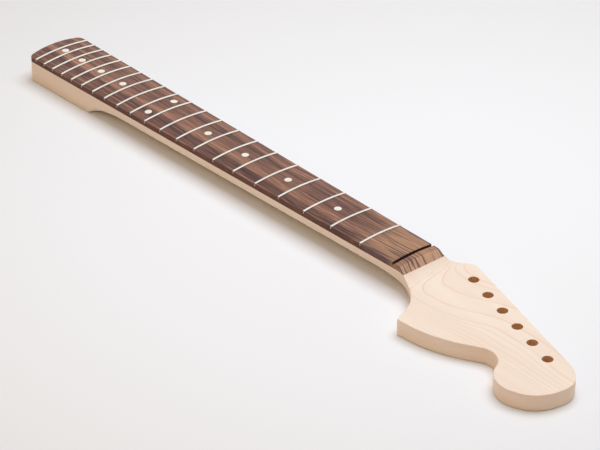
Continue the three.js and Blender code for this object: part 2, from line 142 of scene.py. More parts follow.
# Truss rod
ROD_DIAMETER = 4.76
ROD_DIP = 1.5
ROD_HEEL_HEIGHT = 12.7
ANCHOR_LENGTH = 8
ANCHOR_WIDTH = 9
ANCHOR_HEIGHT = 8
ANCHOR_FROM_NUT = 16
ANCHOR_HOLE_DEPTH = 5
ADJUSTER_DIAMETER = 9.5
ADJUSTER_LENGTH = 12.7
ADJUSTER_HOLE_DEPTH = 9
ADJUSTER_RECESS = 0.6
ADJUSTER_SLOT_WIDTH = 1.6
ADJUSTER_SLOT_DEPTH = 2
WASHER_THICKNESS = 1.6

SEAT_GAP = 0.3
INLAY_GAP = 0.03

# How far a cutting shape goes on past what it cuts
PAST = 2

# Outline points closer than this, and places along the neck closer than this, count as one
SAME_POINT = 0.004
SAME_PLACE = 0.05

# An eased edge stays this far below the surface that is cut over it
UNDER_CUT = 0.012

# A face lies flat across an axis if its normal has a greater share of that axis than this
FLAT = 0.9

# Sizes and places that follow from the others
BORE_LENGTH = ADJUSTER_RECESS + ADJUSTER_LENGTH + SEAT_GAP + WASHER_THICKNESS
HEEL_END_X = -(SCREW_TO_HEEL_END + SCREW_SPACING_ALONG / 2)
NUT_X = HEEL_END_X + BOARD_OVERHANG + SCALE_LENGTH * (1 - 2 ** (-FRET_COUNT / 12))
CROWN_Z = HEEL_THICKNESS + BOARD_THICKNESS
SLOT_X = NUT_X + NUT_SLOT_SETBACK
LIP_END_X = SLOT_X + NUT_SLOT_WIDTH + LIP_LENGTH
RAMP_END_X = LIP_END_X + RAMP_LENGTH
TIP_X = NUT_X + HEAD_LENGTH
WIDEST_HALF = HEAD_LENGTH / 2
SCOOP_ANGLE = math.acos(1 - (HEEL_THICKNESS - HEAD_THICKNESS) / SCOOP_RADIUS)
SCOOP_END_X = RAMP_END_X + SCOOP_RADIUS * math.sin(SCOOP_ANGLE)


def fret_distance(fret):
    return SCALE_LENGTH * (1 - 2 ** (-fret / 12))


def fret_x(fret):
    return NUT_X - fret_distance(fret)


def half_width(x):
    slope = (LAST_FRET_WIDTH - NUT_WIDTH) / 2 / fret_distance(FRET_COUNT)
    return NUT_WIDTH / 2 + (NUT_X - x) * slope


def within(share):
    return min(max(share, 0), 1)


def smooth(share):
    return within(share) ** 2 * (3 - 2 * within(share))


def between(start, end, share):
    return start + (end - start) * share


def evenly(start, end, steps):
    return [between(start, end, i / steps) for i in range(steps + 1)]


# Making meshes

def linked(name, data):
    """A new object in the scene."""
    item = bpy.data.objects.new(name, data)
    bpy.context.scene.collection.objects.link(item)
    return item


def make_piece(name, points, faces):
    """A mesh object from points in millimetres, with its faces turned outwards."""
    mesh = bpy.data.meshes.new(name)
    mesh.from_pydata([(x * MM, y * MM, z * MM) for x, y, z in points], [], faces)
    shape = bmesh.new()
    shape.from_mesh(mesh)
    bmesh.ops.recalc_face_normals(shape, faces=shape.faces)
    shape.to_mesh(mesh)
    shape.free()
    return linked(name, mesh)


def skin(name, rings):
    """A closed skin over a row of rings that have as many points each."""
    size = len(rings[0])
    faces = []
    for row in range(len(rings) - 1):
        for i in range(size):
            a, b = row * size + i, row * size + (i + 1) % size
            faces.append((a, b, b + size, a + size))
    last = (len(rings) - 1) * size
    faces.append(tuple(reversed(range(size))))
    faces.append(tuple(range(last, last + size)))
    return make_piece(name, [point for ring in rings for point in ring], faces)


def slab(name, profile, half):
    """A profile drawn in X and Z, reaching as far as half on both sides of the centre line."""
    return skin(name, [[(x, -half, z) for x, z in profile], [(x, half, z) for x, z in profile]])


def circle(radius, sides):
    turns = [2 * math.pi * i / sides for i in range(sides)]
    return [(radius * math.cos(turn), radius * math.sin(turn)) for turn in turns]


def rectangle(start, end, low, high):
    return [(start, low), (end, low), (end, high), (start, high)]


def turned(name, profile, place, axis="Z", sides=64):
    """A round piece from a profile of (radius, distance along its axis)."""
    rings = []
    for radius, along in profile:
        ring = []
        for across, up in circle(radius, sides):
            offset = {"X": (along, across, up), "Y": (across, along, up), "Z": (across, up, along)}
            ring.append(tuple(a + b for a, b in zip(place, offset[axis])))
        rings.append(ring)
    return skin(name, rings)


def joined(name, pieces):
    """One object out of several that don't touch."""
    points, faces = [], []
    for piece in pieces:
        start = len(points)
        points += [tuple(c / MM for c in vertex.co) for vertex in piece.data.vertices]
        faces += [tuple(start + i for i in face.vertices) for face in piece.data.polygons]
        bpy.data.objects.remove(piece)
    return make_piece(name, points, faces)


def cut(body, tool, operation="DIFFERENCE"):
    """Cuts the tool out of the body, or keeps what both share, and puts the tool away."""
    step = body.modifiers.new("cut", "BOOLEAN")
    step.operation = operation
    step.solver = "MANIFOLD"
    step.object = tool
    shaped = body.evaluated_get(bpy.context.evaluated_depsgraph_get())
    body.data = bpy.data.meshes.new_from_object(shaped)
    body.modifiers.clear()
    bpy.data.objects.remove(tool)


def dress(piece, body, slot, *finishes, replaces=(), sharp=38):
    """Shades a piece smoothly up to its sharp edges, finishes it and seats it on its body."""
    piece.data.shade_smooth()
    piece.data.set_sharp_from_angle(angle=math.radians(sharp))
    weighted = piece.modifiers.new("even normals", "WEIGHTED_NORMAL")
    weighted.keep_sharp = True
    piece.data.materials.clear()
    for finish in finishes:
        piece.data.materials.append(finish)
    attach(piece, body)
    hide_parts(*replaces)


# Outlines

def rounded_outline(corners, steps=24):
    """A closed outline with rounded corners. Two roundings that would meet share the side."""
    count = len(corners)
    places = [Vector((x, y)) for x, y, _ in corners]
    towards = lambda i, j: (places[j % count] - places[i % count]).normalized()
    half = [towards(i, i - 1).angle(towards(i, i + 1)) / 2 for i in range(count)]
    wanted = [corners[i][2] / math.tan(half[i]) for i in range(count)]
    outline = []
    for i in range(count):
        back, on = towards(i, i - 1), towards(i, i + 1)
        before = (places[i - 1] - places[i]).length / (wanted[i - 1] + wanted[i])
        after = (places[(i + 1) % count] - places[i]).length / (wanted[i] + wanted[(i + 1) % count])
        reach = wanted[i] * min(1, before, after)
        radius = reach * math.tan(half[i])
        centre = places[i] + (back + on).normalized() * (radius / math.sin(half[i]))
        spoke = places[i] + back * reach - centre
        turn = math.copysign(math.pi - 2 * half[i], on.x * back.y - on.y * back.x)
        for k in range(steps + 1):
            c, s = math.cos(turn * k / steps), math.sin(turn * k / steps)
            point = centre + Vector((spoke.x * c - spoke.y * s, spoke.x * s + spoke.y * c))
            if not outline or (point - outline[-1]).length > SAME_POINT:
                outline.append(point)
    return [(point.x, point.y) for point in outline]


def neck_outline():
    """The neck from the front, anticlockwise from the treble corner of the heel."""
    end_angle = math.asin((half_width(HEEL_END_X) - HEEL_CORNER_RADIUS) / HEEL_END_RADIUS)
    nose_x = HEEL_END_X - HEEL_END_RADIUS * (1 / math.cos(end_angle) - 1)
    corner_x = nose_x + half_width(HEEL_END_X) * math.tan(end_angle)
    treble_x = NUT_X + HEAD_LENGTH * TREBLE_SHOULDER[0]
    bass_x = NUT_X + HEAD_LENGTH * BASS_SHOULDER[0]
    head = [(NUT_X + HEAD_LENGTH * along, HEAD_LENGTH * across, radius)
            for along, across, radius in HEAD_CORNERS]
    return rounded_outline([
        (corner_x, -half_width(corner_x), HEEL_CORNER_RADIUS),
        (treble_x, -half_width(treble_x), TREBLE_SHOULDER[1]),
        *head,
        (bass_x, half_width(bass_x), BASS_SHOULDER[1]),
        (corner_x, half_width(corner_x), HEEL_CORNER_RADIUS),
        (nose_x, 0, HEEL_END_RADIUS),
    ])


def with_places(outline, places):
    """The outline with a point added wherever it passes one of the places along the neck."""
    full = []
    for i, start in enumerate(outline):
        end = outline[(i + 1) % len(outline)]
        low, high = sorted((start[0], end[0]))
        passed = [x for x in places if low + SAME_PLACE < x < high - SAME_PLACE]
        full.append(start)
        for x in sorted(passed, reverse=end[0] < start[0]):
            full.append((x, between(start[1], end[1], (x - start[0]) / (end[0] - start[0]))))
    return full


def edge_at(outline, x, side):
    """How far the outline's nearest edge lies from the centre line."""
    nearest = WIDEST_HALF
    for i, start in enumerate(outline):
        end = outline[(i + 1) % len(outline)]
        if (start[0] > x) == (end[0] > x):
            continue
        y = side * between(start[1], end[1], (x - start[0]) / (end[0] - start[0]))
        if y > 0:
            nearest = min(nearest, y)
    return nearest


def inset(outline, depth_at):
    """The outline moved inwards, by a depth that may change from point to point."""
    moved = []
    for i, (x, y) in enumerate(outline):
        before, after = outline[i - 1], outline[(i + 1) % len(outline)]
        first = Vector((before[1] - y, x - before[0])).normalized()
        second = Vector((y - after[1], after[0] - x)).normalized()
        inward = (first + second) / (1 + first.dot(second)) * depth_at(x)
        moved.append((x + inward.x, y + inward.y))
    return moved


def eased_plate(name, outline, low, low_easing, top_at, top_easing_at, cap_z, steps=4):
    """A plate with rounded edges. Its upper edge follows top_at, and its walls go on straight
    to cap_z, for a later cut to take off."""
    rings = []
    for k in range(steps + 1):
        turn = math.pi / 2 * k / steps
        ring = inset(outline, lambda x: low_easing * (1 - math.sin(turn)))
        z = low + low_easing * (1 - math.cos(turn))
        rings.append([(x, y, z) for x, y in ring])
    for k in range(steps + 1):
        turn = math.pi / 2 * k / steps
        ring = inset(outline, lambda x: top_easing_at(x) * (1 - math.cos(turn)))
        rings.append([(x, y, top_at(x, y) - UNDER_CUT - top_easing_at(x) * (1 - math.sin(turn)))
                      for x, y in ring])
    rings.append([(x, y, cap_z) for x, y, _ in rings[-1]])
    return skin(name, rings)


# Maple neck

def face_height(x, y=0):
    """The maple's upper side: the glue face, then the hollow down to the head's face."""
    if x <= RAMP_END_X:
        return HEEL_THICKNESS
    sine = within((SCOOP_END_X - x) / SCOOP_RADIUS)
    return HEAD_THICKNESS + SCOOP_RADIUS * (1 - math.sqrt(1 - sine ** 2))


def back_section(x, outline, steps=72):
    """The shaft's rounded back, swelling into the square heel and the flat headstock."""
    from_nut = NUT_X - x
    slope = (SHAFT_DEPTH_TWELFTH - SHAFT_DEPTH_FIRST) / (fret_distance(12) - fret_distance(1))
    shaft_depth = SHAFT_DEPTH_FIRST + slope * (from_nut - fret_distance(1)) - BOARD_THICKNESS
    past_block = x - HEEL_END_X - HEEL_BLOCK_LENGTH
    cove = within(1 - past_block / COVE_LENGTH) ** 2
    heel_edge = within(1 - past_block / HEEL_EDGE_FADE) ** 2
    head_depth = smooth((HEAD_DEPTH_START - from_nut) / (HEAD_DEPTH_START + HEAD_DEPTH_END))
    head_edge = smooth((HEAD_EDGE_START - from_nut) / (HEAD_EDGE_START + HEAD_EDGE_END))
    squareness = max(heel_edge, head_edge)
    depth = between(shaft_depth, HEEL_THICKNESS + PAST, max(cove, head_depth))
    power = 2 * between(1 / SHAFT_ROUNDNESS, 1 / BLOCK_ROUNDNESS, squareness)
    spare = SIDE_FLAT_ALLOWANCE + PAST * squareness ** 4
    edges = {side: spare + (half_width(x) if x < NUT_X else edge_at(outline, x, side))
             for side in (-1, 1)}
    ring = []
    for i in range(steps + 1):
        angle = math.pi * i / steps
        side = 1 if 2 * i > steps else -1
        across = 0 if 2 * i == steps else abs(math.cos(angle)) ** power
        down = 0 if i in (0, steps) else math.sin(angle) ** power
        ring.append((x, side * edges[side] * across, HEEL_THICKNESS - depth * down))
    ring.append((x, edges[1], HEEL_THICKNESS + 1))
    ring.append((x, -edges[-1], HEEL_THICKNESS + 1))
    return ring


def back_body(outline):
    block_end = HEEL_END_X + HEEL_BLOCK_LENGTH
    head_start = NUT_X - HEAD_DEPTH_START
    head_stations = evenly(head_start, NUT_X + HEAD_EDGE_END, 14)
    places = [
        HEEL_END_X - PAST,
        *evenly(block_end, block_end + COVE_LENGTH, 18),
        *evenly(block_end + COVE_LENGTH, block_end + HEEL_EDGE_FADE, 10)[1:],
        *evenly(head_start, head_stations[12], 36),
        *head_stations[13:],
        TIP_X + PAST,
    ]
    return skin("back body", [back_section(x, outline) for x in places])


def scoop():
    profile = [(RAMP_END_X, HEEL_THICKNESS + PAST)]
    profile += [(x, face_height(x)) for x in evenly(RAMP_END_X + 0.001, SCOOP_END_X, 36)]
    profile += [(TIP_X + PAST, HEAD_THICKNESS), (TIP_X + PAST, HEEL_THICKNESS + PAST)]
    return slab("scoop", profile, 2 * WIDEST_HALF)


def rod_points(steps=48):
    """The truss rod's line: it dips under the middle of the neck and leaves the heel level."""
    inner_x = HEEL_END_X + ADJUSTER_RECESS + ADJUSTER_LENGTH
    start_x = inner_x - ADJUSTER_HOLE_DEPTH + SEAT_GAP
    anchor_x = NUT_X - ANCHOR_FROM_NUT
    end_x = anchor_x - ANCHOR_LENGTH / 2 + ANCHOR_HOLE_DEPTH - SEAT_GAP
    anchor_z = HEEL_THICKNESS - SEAT_GAP - ANCHOR_HEIGHT / 2
    heights = (ROD_HEEL_HEIGHT, ROD_HEEL_HEIGHT, ROD_HEEL_HEIGHT - ROD_DIP, anchor_z)
    points = []
    for i in range(steps + 1):
        t = i / steps
        shares = ((1 - t) ** 3, 3 * t * (1 - t) ** 2, 3 * t ** 2 * (1 - t), t ** 3)
        points.append((between(start_x, end_x, t), sum(a * b for a, b in zip(shares, heights))))
    return points


def rod_channel():
    shoulder_x = HEEL_END_X + BORE_LENGTH
    pocket_x = NUT_X - ANCHOR_FROM_NUT - ANCHOR_LENGTH / 2 - SEAT_GAP
    below = ROD_DIAMETER / 2 + SEAT_GAP
    bed = [(x, z - below) for x, z in rod_points() if shoulder_x - PAST < x < pocket_x]
    profile = [(shoulder_x - PAST, bed[0][1]), *bed, (pocket_x + PAST, bed[-1][1]),
               (pocket_x + PAST, HEEL_THICKNESS + PAST), (shoulder_x, HEEL_THICKNESS + PAST),
               (shoulder_x, ROD_HEEL_HEIGHT), (shoulder_x - PAST, ROD_HEEL_HEIGHT)]
    return slab("rod channel", profile, below)


def anchor_pocket():
    x = NUT_X - ANCHOR_FROM_NUT
    reach = ANCHOR_LENGTH / 2 + SEAT_GAP
    low = HEEL_THICKNESS - ANCHOR_HEIGHT - 2 * SEAT_GAP
    profile = rectangle(x - reach, x + reach, low, HEEL_THICKNESS + PAST)
    return slab("anchor pocket", profile, ANCHOR_WIDTH / 2 + SEAT_GAP)


def rounded_rim(radius, easing, face, outward, steps=4):
    """The last part of a hole's profile: its rim, eased where it meets a face."""
    rim = []
    for k in range(steps + 1):
        turn = math.pi / 2 * k / steps
        wider = radius + easing * (1 - math.cos(turn))
        rim.append((wider, face - outward * easing * (1 - math.sin(turn))))
    return rim + [(radius + easing, face + outward * PAST)]


def tuner_places():
    shares = [number / (TUNER_COUNT - 1) for number in range(TUNER_COUNT)]
    return [(NUT_X + HEAD_LENGTH * between(FIRST_TUNER[0], LAST_TUNER[0], share),
             HEAD_LENGTH * between(FIRST_TUNER[1], LAST_TUNER[1], share)) for share in shares]


def screw_places():
    signs = ((-1, -1), (-1, 1), (1, -1), (1, 1))
    return [(a * SCREW_SPACING_ALONG / 2, b * SCREW_SPACING_ACROSS / 2) for a, b in signs]


def drills():
    """What makes the tuner holes, the screw holes and the adjusting nut's bore."""
    radius = TUNER_HOLE_DIAMETER / 2
    profile = rounded_rim(radius, HOLE_RIM_EASING, 0, -1)[::-1]
    profile += rounded_rim(radius, HOLE_RIM_EASING, HEAD_THICKNESS, 1)
    tools = [turned("tuner drill", profile, (x, y, 0)) for x, y in tuner_places()]
    radius = SCREW_HOLE_DIAMETER / 2
    profile = rounded_rim(radius, 0.2, 0, -1)[::-1]
    profile += [(radius, SCREW_HOLE_DEPTH - radius), (0.1, SCREW_HOLE_DEPTH)]
    for x, y in screw_places():
        tools.append(turned("screw drill", profile, (x, y, 0), sides=32))
    radius = ADJUSTER_DIAMETER / 2 + SEAT_GAP
    profile = rounded_rim(radius, 0.25, 0, -1)[::-1] + [(radius, BORE_LENGTH)]
    tools.append(turned("bore drill", profile, (HEEL_END_X, 0, ROD_HEEL_HEIGHT), "X"))
    return joined("drills", tools)


def finish_holes(neck):
    """Gives the walls of the holes the neck's second material."""
    wall = TUNER_HOLE_DIAMETER / 2 - 0.2
    rim = TUNER_HOLE_DIAMETER / 2 + 0.1
    screw_rim = SCREW_HOLE_DIAMETER / 2 + 0.05
    bore_rim = ADJUSTER_DIAMETER / 2 + SEAT_GAP + 0.05
    bore_end = HEEL_END_X + BORE_LENGTH + 0.8
    for face in neck.data.polygons:
        x, y, z = (c / MM for c in face.center)
        in_tuner = any(wall < math.dist((x, y), place) < rim for place in tuner_places())
        in_screw = any(math.dist((x, y), place) < screw_rim for place in screw_places())
        in_screw = in_screw and z < SCREW_HOLE_DEPTH + 1
        in_bore = x < bore_end and math.dist((y, z), (0, ROD_HEEL_HEIGHT)) < bore_rim
        upright_hole = (in_tuner or in_screw) and abs(face.normal.z) < FLAT
        level_hole = in_bore and abs(face.normal.x) < FLAT
        if upright_hole or level_hole:
            face.material_index = 1


def make_neck(outline, maple, drilled):
    places = evenly(RAMP_END_X, SCOOP_END_X, 20) + evenly(SCOOP_END_X, TIP_X, 60)
    dense = with_places(outline, places)
    run_in = lambda x: smooth((x - RAMP_END_X) / HEAD_EASING_RUN_IN)
    easing = lambda x: between(0.02, HEAD_EDGE_EASING, run_in(x))
    neck = eased_plate("neck_maple", dense, 0, BACK_EDGE_EASING, face_height, easing,
                       HEEL_THICKNESS)
    cut(neck, back_body(outline), "INTERSECT")
    cut(neck, scoop())
    cut(neck, rod_channel())
    cut(neck, anchor_pocket())
    cut(neck, drills())
    dress(neck, "neck_assembly", "maple", maple, drilled, replaces=["neck"])
    finish_holes(neck)


# Rosewood board

def crown_rise(y):
    """The board's thickness at a distance from the centre line."""
    return BOARD_THICKNESS - BOARD_RADIUS + math.sqrt(BOARD_RADIUS ** 2 - y ** 2)


def height_share(x):
    """How much of the board's thickness is left: all of it, then less down the ramp."""
    from_end = x - LIP_END_X
    if from_end < -LIP_ROUNDING:
        return 1
    if from_end < LIP_ROUNDING:
        return 1 - LIP_ROUNDING / RAMP_LENGTH * ((from_end / LIP_ROUNDING + 1) / 2) ** 2
    return 1 - from_end / RAMP_LENGTH


def crown_z(x, y):
    return HEEL_THICKNESS + crown_rise(y) * height_share(x)


def crown_body(steps=96):
    half = LAST_FRET_WIDTH / 2 + PAST
    rings = []
    rounding = evenly(LIP_END_X - LIP_ROUNDING, LIP_END_X + LIP_ROUNDING, 12)
    for x in [HEEL_END_X - PAST, *rounding, RAMP_END_X + PAST / 4]:
        ring = [(x, -half, HEEL_THICKNESS - PAST), (x, half, HEEL_THICKNESS - PAST)]
        ring += [(x, y, crown_z(x, y)) for y in evenly(half, -half, steps)]
        rings.append(ring)
    return skin("crown body", rings)


def board_outline(outline):
    """The part of the neck's outline that the board fills, closed just before the ramp ends."""
    end_x = RAMP_END_X - 0.04
    full = with_places(outline, [end_x] + evenly(NUT_X, RAMP_END_X - 0.3, 34))
    return [point for point in full if point[0] <= end_x + 0.001]


def on_curve(x, out, angle):
    """A point at a height above the board's face, at an angle round its curve."""
    radius = BOARD_RADIUS + out
    return (x, radius * math.sin(angle), CROWN_Z - BOARD_RADIUS + radius * math.cos(angle))


def fret_slot(x, steps=12):
    """What cuts the slot for a tang, along the board's curve and past both edges."""
    half = TANG_WIDTH / 2 + INLAY_GAP
    section = rectangle(-half, half, -TANG_DEPTH - INLAY_GAP, PAST)
    end = math.asin((half_width(x) + PAST) / BOARD_RADIUS)
    return skin("fret slot", [[on_curve(x + along, out, angle) for along, out in section]
                              for angle in evenly(end, -end, steps)])


def dot_places(across, along):
    """Where the dots lie: each has its name's ending, then a place along and across."""
    places = []
    for fret in DOTTED_FRETS:
        x = (fret_x(fret) + fret_x(fret - 1)) / 2
        if fret == PAIRED_DOT_FRET:
            places.append((f"{fret:02d}_a", x - along / 2, across / 2))
            places.append((f"{fret:02d}_b", x + along / 2, -across / 2))
        else:
            places.append((f"{fret:02d}", x, 0))
    return places


def board_cuts():
    tools = [fret_slot(fret_x(fret)) for fret in range(1, FRET_COUNT + 1)]
    radius = DOT_RADIUS + INLAY_GAP
    for _, x, y in dot_places(DOT_PAIR_SPACING, 0):
        low = CROWN_Z - DOT_THICKNESS - INLAY_GAP - BOARD_THICKNESS + crown_rise(y)
        tools.append(turned("dot pocket", [(radius, low), (radius, CROWN_Z + PAST)], (x, y, 0)))
    radius = SIDE_DOT_RADIUS + INLAY_GAP
    for _, x, _ in dot_places(0, SIDE_DOT_PAIR_SPACING):
        edge = half_width(x)
        profile = [(radius, edge - SIDE_DOT_LENGTH - SEAT_GAP), (radius, edge + PAST)]
        place = (x, 0, HEEL_THICKNESS + SIDE_DOT_HEIGHT)
        tools.append(turned("side dot pocket", profile, place, "Y", 32))
    return joined("board cuts", tools)


def make_board(outline, rosewood):
    easing = lambda x: min(BOARD_EDGE_EASING, 0.4 * BOARD_THICKNESS * within(height_share(x)))
    board = eased_plate("fingerboard_rosewood", board_outline(outline), HEEL_THICKNESS,
                        GLUE_EDGE_EASING, crown_z, easing, CROWN_Z + PAST)
    cut(board, crown_body(), "INTERSECT")
    cut(board, board_cuts())
    nut_slot = rectangle(SLOT_X, SLOT_X + NUT_SLOT_WIDTH, CROWN_Z - NUT_SLOT_DEPTH, CROWN_Z + PAST)
    cut(board, slab("nut slot", nut_slot, WIDEST_HALF))
    dress(board, "neck_assembly", "rosewood", rosewood, replaces=["fingerboard"], sharp=30)


# Frets and dots

def fret_section(steps=14):
    """Fretwire from its end: a domed crown over a narrow tang."""
    half = TANG_WIDTH / 2
    crown = FRET_WIDTH / 2
    tucked = crown - 0.03
    section = [(-half, -TANG_DEPTH), (half, -TANG_DEPTH), (half, FRET_LIFT), (tucked, FRET_LIFT)]
    for k in range(steps + 1):
        angle = math.pi * k / steps
        rise = (FRET_HEIGHT - FRET_FOOT) * math.sin(angle) ** FRET_FULLNESS
        section.append((crown * math.cos(angle), FRET_FOOT + rise))
    return section + [(-tucked, FRET_LIFT), (-half, FRET_LIFT)]


def end_angle(x, out, pulled_in):
    """Where a point of the fretwire meets the plane that its end is dressed to."""
    half = half_width(x) - FRET_END_INSET
    edge_z = CROWN_Z - BOARD_RADIUS + math.sqrt(BOARD_RADIUS ** 2 - half ** 2)
    radius = BOARD_RADIUS + out
    y = half
    for _ in range(12):
        z = CROWN_Z - BOARD_RADIUS + math.sqrt(radius ** 2 - y ** 2)
        y = half - max(z - edge_z, 0) * math.tan(FRET_BEVEL) - pulled_in
    return math.asin(y / radius)


def make_fret(fret, nickel_silver, steps=22):
    """One fret, with both ends bevelled and their edges broken."""
    x = fret_x(fret)
    section = fret_section()
    # The very end is a little smaller than the rest
    narrower, lower = FRET_END_SIZE
    small = [(along * narrower, out if out <= FRET_LIFT else between(FRET_LIFT, out, lower))
             for along, out in section]
    rows = [(small, 0, 1), (section, FRET_END_BREAK, 1)]
    rows += [(section, FRET_END_BREAK, share) for share in evenly(0.97, -0.97, steps)]
    rows += [(section, FRET_END_BREAK, -1), (small, 0, -1)]
    name = f"fret_{fret:02d}"
    piece = skin(name + "_wire", [
        [on_curve(x + along, out, end_angle(x, out, pulled_in) * share) for along, out in points]
        for points, pulled_in, share in rows])
    dress(piece, "neck_assembly", "nickel_silver", nickel_silver, replaces=[name], sharp=50)


def make_dot(label, x, y, ivory, sides=48):
    """An inlaid dot, sanded flush with the board's curve."""
    low = CROWN_Z - DOT_THICKNESS - BOARD_THICKNESS + crown_rise(y)
    rings = []
    rows = [(DOT_RADIUS, None), (DOT_RADIUS, 0.05), (DOT_RADIUS - 0.04, 0.004),
            (2.1, 0), (1.0, 0), (0.2, 0)]
    for radius, drop in rows:
        ring = []
        for a, b in circle(radius, sides):
            px, py = x + a, y + b
            ring.append((px, py, low if drop is None else crown_z(px, py) - drop))
        rings.append(ring)
    piece = skin(f"dot_{label}_inlay", rings)
    dress(piece, "neck_assembly", "ivory_plastic", ivory, replaces=[f"dot_{label}"])


def make_side_dot(label, x, ivory, sides=32):
    z = HEEL_THICKNESS + SIDE_DOT_HEIGHT
    rings = []
    rows = [(SIDE_DOT_RADIUS, SIDE_DOT_LENGTH), (SIDE_DOT_RADIUS, 0.05),
            (SIDE_DOT_RADIUS - 0.03, 0.02), (0.5, 0.02)]
    for radius, depth in rows:
        places = circle(radius, sides)
        rings.append([(x + a, half_width(x + a) - depth, z + b) for a, b in places])
    piece = skin(f"side_dot_{label}_inlay", rings)
    dress(piece, "neck_assembly", "ivory_plastic", ivory, replaces=[f"side_dot_{label}"])


def make_adjuster(steel):
    """The truss rod's adjusting nut: a turned barrel with two crossed screwdriver slots."""
    outer = HEEL_END_X + ADJUSTER_RECESS
    radius = ADJUSTER_DIAMETER / 2
    place = (outer, 0, ROD_HEEL_HEIGHT)
    barrel = turned("truss_rod_nut_barrel", [
        (radius - 0.5, 0), (radius - 0.15, 0.12), (radius, 0.5),
        (radius, ADJUSTER_LENGTH - 0.4), (radius - 0.4, ADJUSTER_LENGTH),
    ], place, "X", 96)
    hole = ROD_DIAMETER / 2 + SEAT_GAP
    inner = ADJUSTER_LENGTH - ADJUSTER_HOLE_DEPTH
    thread = [(0.3, inner - 0.6), (hole, inner), (hole, ADJUSTER_LENGTH + PAST)]
    cut(barrel, turned("thread hole", thread, place, "X", 48))
    half = ADJUSTER_SLOT_WIDTH / 2
    start, end = outer - PAST, outer + ADJUSTER_SLOT_DEPTH
    for name, up, across in (("level slot", half, radius + PAST), ("upright slot", 9, half)):
        slot = rectangle(start, end, ROD_HEEL_HEIGHT - up, ROD_HEEL_HEIGHT + up)
        cut(barrel, slab(name, slot, across))
    dress(barrel, "truss_nut", "steel", steel, replaces=["truss_rod_nut"], sharp=30)


# Shader helpers

def paint(red, green, blue):
    """A colour written as it should look on a screen, from 0 to 255."""
    def straight(value):
        value /= 255
        return value / 12.92 if value <= 0.04045 else ((value + 0.055) / 1.055) ** 2.4
    return (straight(red), straight(green), straight(blue), 1)


def wire(tree, value, socket):
    if isinstance(value, bpy.types.NodeSocket):
        tree.links.new(value, socket)
    else:
        socket.default_value = value


def put(tree, kind, sockets=None, **settings):
    node = tree.nodes.new("ShaderNode" + kind)
    for key, value in settings.items():
        setattr(node, key, value)
    for key, value in (sockets or {}).items():
        wire(tree, value, node.inputs[key])
    return node


def calc(tree, operation, *values, clamp=False):
    node = put(tree, "Math", operation=operation, use_clamp=clamp)
    for socket, value in zip(node.inputs, values):
        wire(tree, value, socket)
    return node.outputs[0]


def ranged(tree, value, low, high, to_low=0.0, to_high=1.0, easing="SMOOTHSTEP"):
    node = put(tree, "MapRange", {"Value": value, "From Min": low, "From Max": high,
                                  "To Min": to_low, "To Max": to_high}, interpolation_type=easing)
    return node.outputs["Result"]


def tinted(tree, share, first, second, how="MIX"):
    node = put(tree, "Mix", data_type="RGBA", blend_type=how)
    for index, value in ((0, share), (6, first), (7, second)):
        wire(tree, value, node.inputs[index])
    return node.outputs[2]


def curved(tree, value, points):
    """A value read off a curve through points whose coordinates run from 0 to 1."""
    node = put(tree, "FloatCurve", {"Value": value})
    line = node.mapping.curves[0]
    while len(line.points) > 2:
        line.points.remove(line.points[1])
    line.points[0].location = points[0]
    line.points[1].location = points[-1]
    for x, y in points[1:-1]:
        line.points.new(x, y)
    node.mapping.update()
    return node.outputs["Value"]


def noise(tree, place, detail, roughness=0.5):
    sockets = {"Vector": place, "Scale": 1.0, "Detail": detail, "Roughness": roughness}
    return put(tree, "TexNoise", sockets).outputs[0]


def parts_of(tree, vector):
    """A vector's parts, by the names X, Y and Z."""
    return put(tree, "SeparateXYZ", {"Vector": vector}).outputs


def times(tree, *values):
    return calc(tree, "MULTIPLY", *values)


def swing(tree, value, size):
    """How far a noise lies from its middle, times a size."""
    return times(tree, calc(tree, "SUBTRACT", value, 0.5), size)


def new_group(name, inputs, outputs):
    """A node group, with its inputs as (name, kind, value) and its outputs as (name, kind)."""
    tree = bpy.data.node_groups.new(name, "ShaderNodeTree")
    for title, kind, value in inputs:
        socket = tree.interface.new_socket(title, in_out="INPUT", socket_type="NodeSocket" + kind)
        if value is not None:
            socket.default_value = value
    for title, kind in outputs:
        tree.interface.new_socket(title, in_out="OUTPUT", socket_type="NodeSocket" + kind)
    given = tree.nodes.new("NodeGroupInput")
    result = tree.nodes.new("NodeGroupOutput")
    return tree, given.outputs, result.inputs


def use_group(tree, group, **sockets):
    node = tree.nodes.new("ShaderNodeGroup")
    node.node_tree = group
    for key, value in sockets.items():
        wire(tree, value, node.inputs[key.replace("_", " ")])
    return node.outputs


def streaks_of(tree, fibres, place, length, width, depth, seed, detail=3.0):
    """Wood fibres or the like, with their length, width and depth in millimetres."""
    return use_group(tree, fibres, Place=place, Length=length, Width=width, Depth=depth,
                     Seed=seed, Detail=detail)["Streaks"]


def new_finish(name, **shader_values):
    """A material with its Principled shader, and the place on the piece in millimetres."""
    finish = bpy.data.materials.new(name)
    finish.use_nodes = True
    tree = finish.node_tree
    shader = tree.nodes["Principled BSDF"]
    for key, value in shader_values.items():
        shader.inputs[key.replace("_", " ")].default_value = value
    coordinates = tree.nodes.new("ShaderNodeTexCoord")
    place = put(tree, "VectorMath", {0: coordinates.outputs["Object"], "Scale": 1 / MM},
                operation="SCALE")
    return finish, tree, shader, place.outputs[0], coordinates.outputs["Normal"]


def shaded(tree, shader, colour, roughness, height, distance, strength):
    """Gives a shader its colour, its roughness and a relief so many millimetres deep."""
    wire(tree, colour, shader.inputs["Base Color"])
    wire(tree, roughness, shader.inputs["Roughness"])
    bump = put(tree, "Bump", {"Height": height, "Distance": distance * MM, "Strength": strength})
    wire(tree, bump.outputs["Normal"], shader.inputs["Normal"])


# Shared effects

